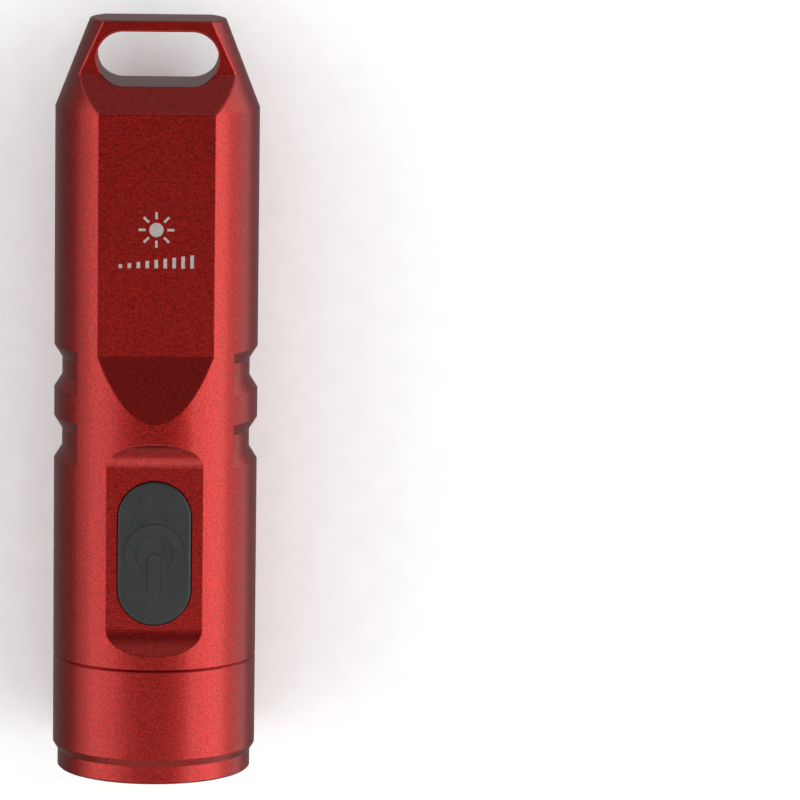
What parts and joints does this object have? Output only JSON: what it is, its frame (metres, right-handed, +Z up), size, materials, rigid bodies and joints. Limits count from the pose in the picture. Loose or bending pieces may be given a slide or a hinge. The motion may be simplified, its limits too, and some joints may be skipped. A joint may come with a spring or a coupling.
{
  "type": "keychain flashlight",
  "caption": "Pocket keychain flashlight: round milled metal body with a key ring loop, clear beam lens, side push button and covered charging port.",
  "frame": {"origin": "centre of the resting footprint, under the middle of the light's length, at the lowest point of the round body", "axes": "+Z up, through the button; the light's long axis along Y, lens facing -Y, key ring loop at +Y; X across"},
  "size_m": [0.015, 0.0558, 0.015],
  "materials": {
    "red_anodised": "bead-blasted red anodised",
    "black_rubber": "matt",
    "grey_silicone": "satin, slightly translucent",
    "red_silicone": "matt",
    "clear_plastic": "clear optical",
    "white_plastic": "satin",
    "clear_silicone": "clear",
    "yellow_phosphor": "matt",
    "white_ceramic": "matt",
    "metal_core_board": "white solder mask on aluminium",
    "bare_aluminium": "turned",
    "black_plastic": "moulded",
    "green_board": "green solder mask",
    "bright_steel": "stamped",
    "gold_contact": "gold plated",
    "chip_epoxy": "moulded epoxy",
    "ferrite": "ferrite",
    "tan_ceramic": "ceramic",
    "cell_can": "drawn can",
    "blue_wrap": "shrink film",
    "grey_foam": "foam",
    "red_wire": "insulation",
    "black_wire": "insulation"
  },
  "bodies": {
    "light": {"body_shell": "red_anodised", "head_bezel": "red_anodised", "head_seal": "black_rubber", "lens_gasket": "black_rubber", "lens": "clear_plastic", "lens_holder": "white_plastic", "led_dome": "clear_silicone", "led_phosphor": "yellow_phosphor", "led_substrate": "white_ceramic", "led_board": "metal_core_board", "heat_spreader": "bare_aluminium", "led_lead_negative": "black_wire", "led_lead_positive": "red_wire", "board_carrier": "black_plastic", "main_board": "green_board", "switch_base": "black_plastic", "switch_cover": "bright_steel", "switch_disc": "bright_steel", "usb_shell": "bright_steel", "usb_tongue": "black_plastic", "usb_contacts": "gold_contact", "controller_chip": "chip_epoxy", "charger_chip": "chip_epoxy", "power_inductor": "ferrite", "board_passives": "tan_ceramic", "indicator_leds": "clear_silicone", "battery_cell": "cell_can", "battery_wrap": "blue_wrap", "battery_pad": "grey_foam", "battery_tabs": "bright_steel", "battery_lead_negative": "black_wire", "battery_lead_positive": "red_wire", "port_cover_anchor": "black_rubber"},
    "button": {"button": "grey_silicone"},
    "switch_stem": {"switch_stem": "black_plastic"},
    "port_cover": {"port_cover": "black_rubber"}
  },
  "joints": [
    {"name": "button_press", "type": "slide", "parent": "light", "child": "button", "axis": [0, 0, -1], "range_m": [0, 0.00035], "stiffness_N_per_m": 3000},
    {"name": "switch_stem_travel", "type": "slide", "parent": "light", "child": "switch_stem", "axis": [0, 0, -1], "range_m": [0, 0.00035]},
    {"name": "port_cover_swing", "type": "hinge", "parent": "light", "child": "port_cover", "pos_m": [0, -0.00585, 0.00008], "axis": [1, 0, 0], "range_deg": [0, 150]}
  ],
  "couplings": [
    {"joint": "switch_stem_travel", "follows": "button_press", "ratio": 1}
  ]
}
